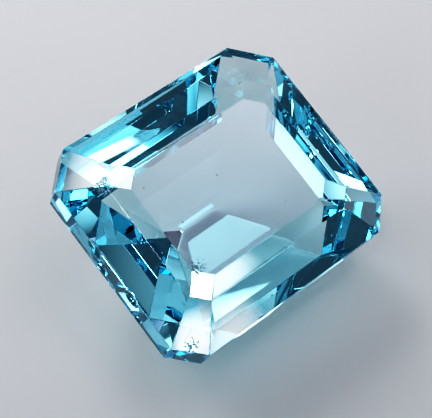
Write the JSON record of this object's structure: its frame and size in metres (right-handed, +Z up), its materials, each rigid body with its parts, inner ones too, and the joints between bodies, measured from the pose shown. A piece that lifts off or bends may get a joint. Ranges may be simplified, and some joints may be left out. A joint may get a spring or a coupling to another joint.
{
  "type": "step-cut topaz gemstone",
  "caption": "Loose octagonal step-cut topaz: a clear pale blue faceted stone with a flat table, stepped crown and pavilion, and a chipped girdle, lying tipped over on a keel facet.",
  "frame": {"origin": "on the ground, under the middle of the stone's bounding box", "axes": "+Z up, out of the ground the stone lies on; +X along the stone's length; -Y is the side towards which the table is tipped"},
  "size_m": [0.0142, 0.012, 0.0079],
  "materials": {
    "topaz": "polished clear topaz, pale sky blue by absorption, fine handling scratches, chipped girdle"
  },
  "bodies": {
    "root": {"topaz": "topaz"}
  },
  "joints": []
}
